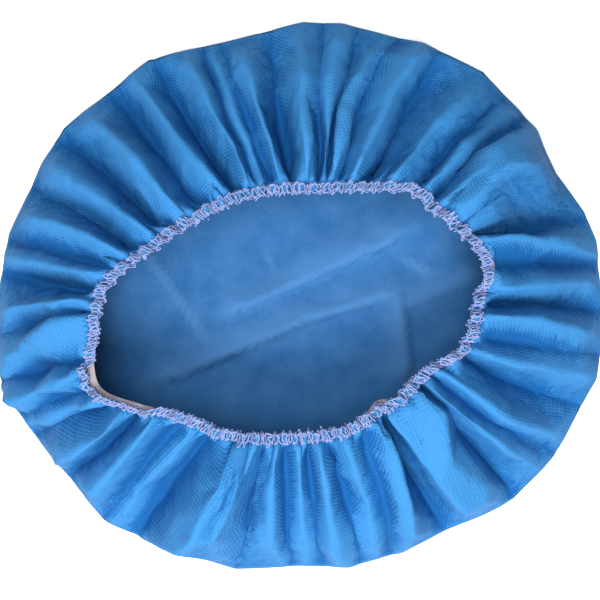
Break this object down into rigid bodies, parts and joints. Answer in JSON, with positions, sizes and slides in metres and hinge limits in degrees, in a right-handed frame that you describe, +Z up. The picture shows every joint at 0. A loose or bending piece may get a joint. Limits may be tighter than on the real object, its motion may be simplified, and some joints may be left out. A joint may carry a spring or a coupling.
{
  "type": "surgical cap",
  "caption": "Disposable round surgical cap of gathered nonwoven fabric, lying on its flat crown with its elastic mouth open upwards.",
  "frame": {"origin": "middle of the cap's bounding box, on the surface that the flat crown rests on", "axes": "+X along the longer side of the cap, +Y across it, +Z up out of the mouth"},
  "size_m": [0.3056, 0.2756, 0.0598],
  "materials": {
    "nonwoven_fabric": "matte blue spunbond nonwoven with a fine embossed bond pattern",
    "elastic": "matte off-white knitted elastic tape",
    "thread": "white polyester overlock thread"
  },
  "bodies": {
    "root": {"cap_shell": "nonwoven_fabric", "elastic_band": "elastic"}
  },
  "joints": []
}
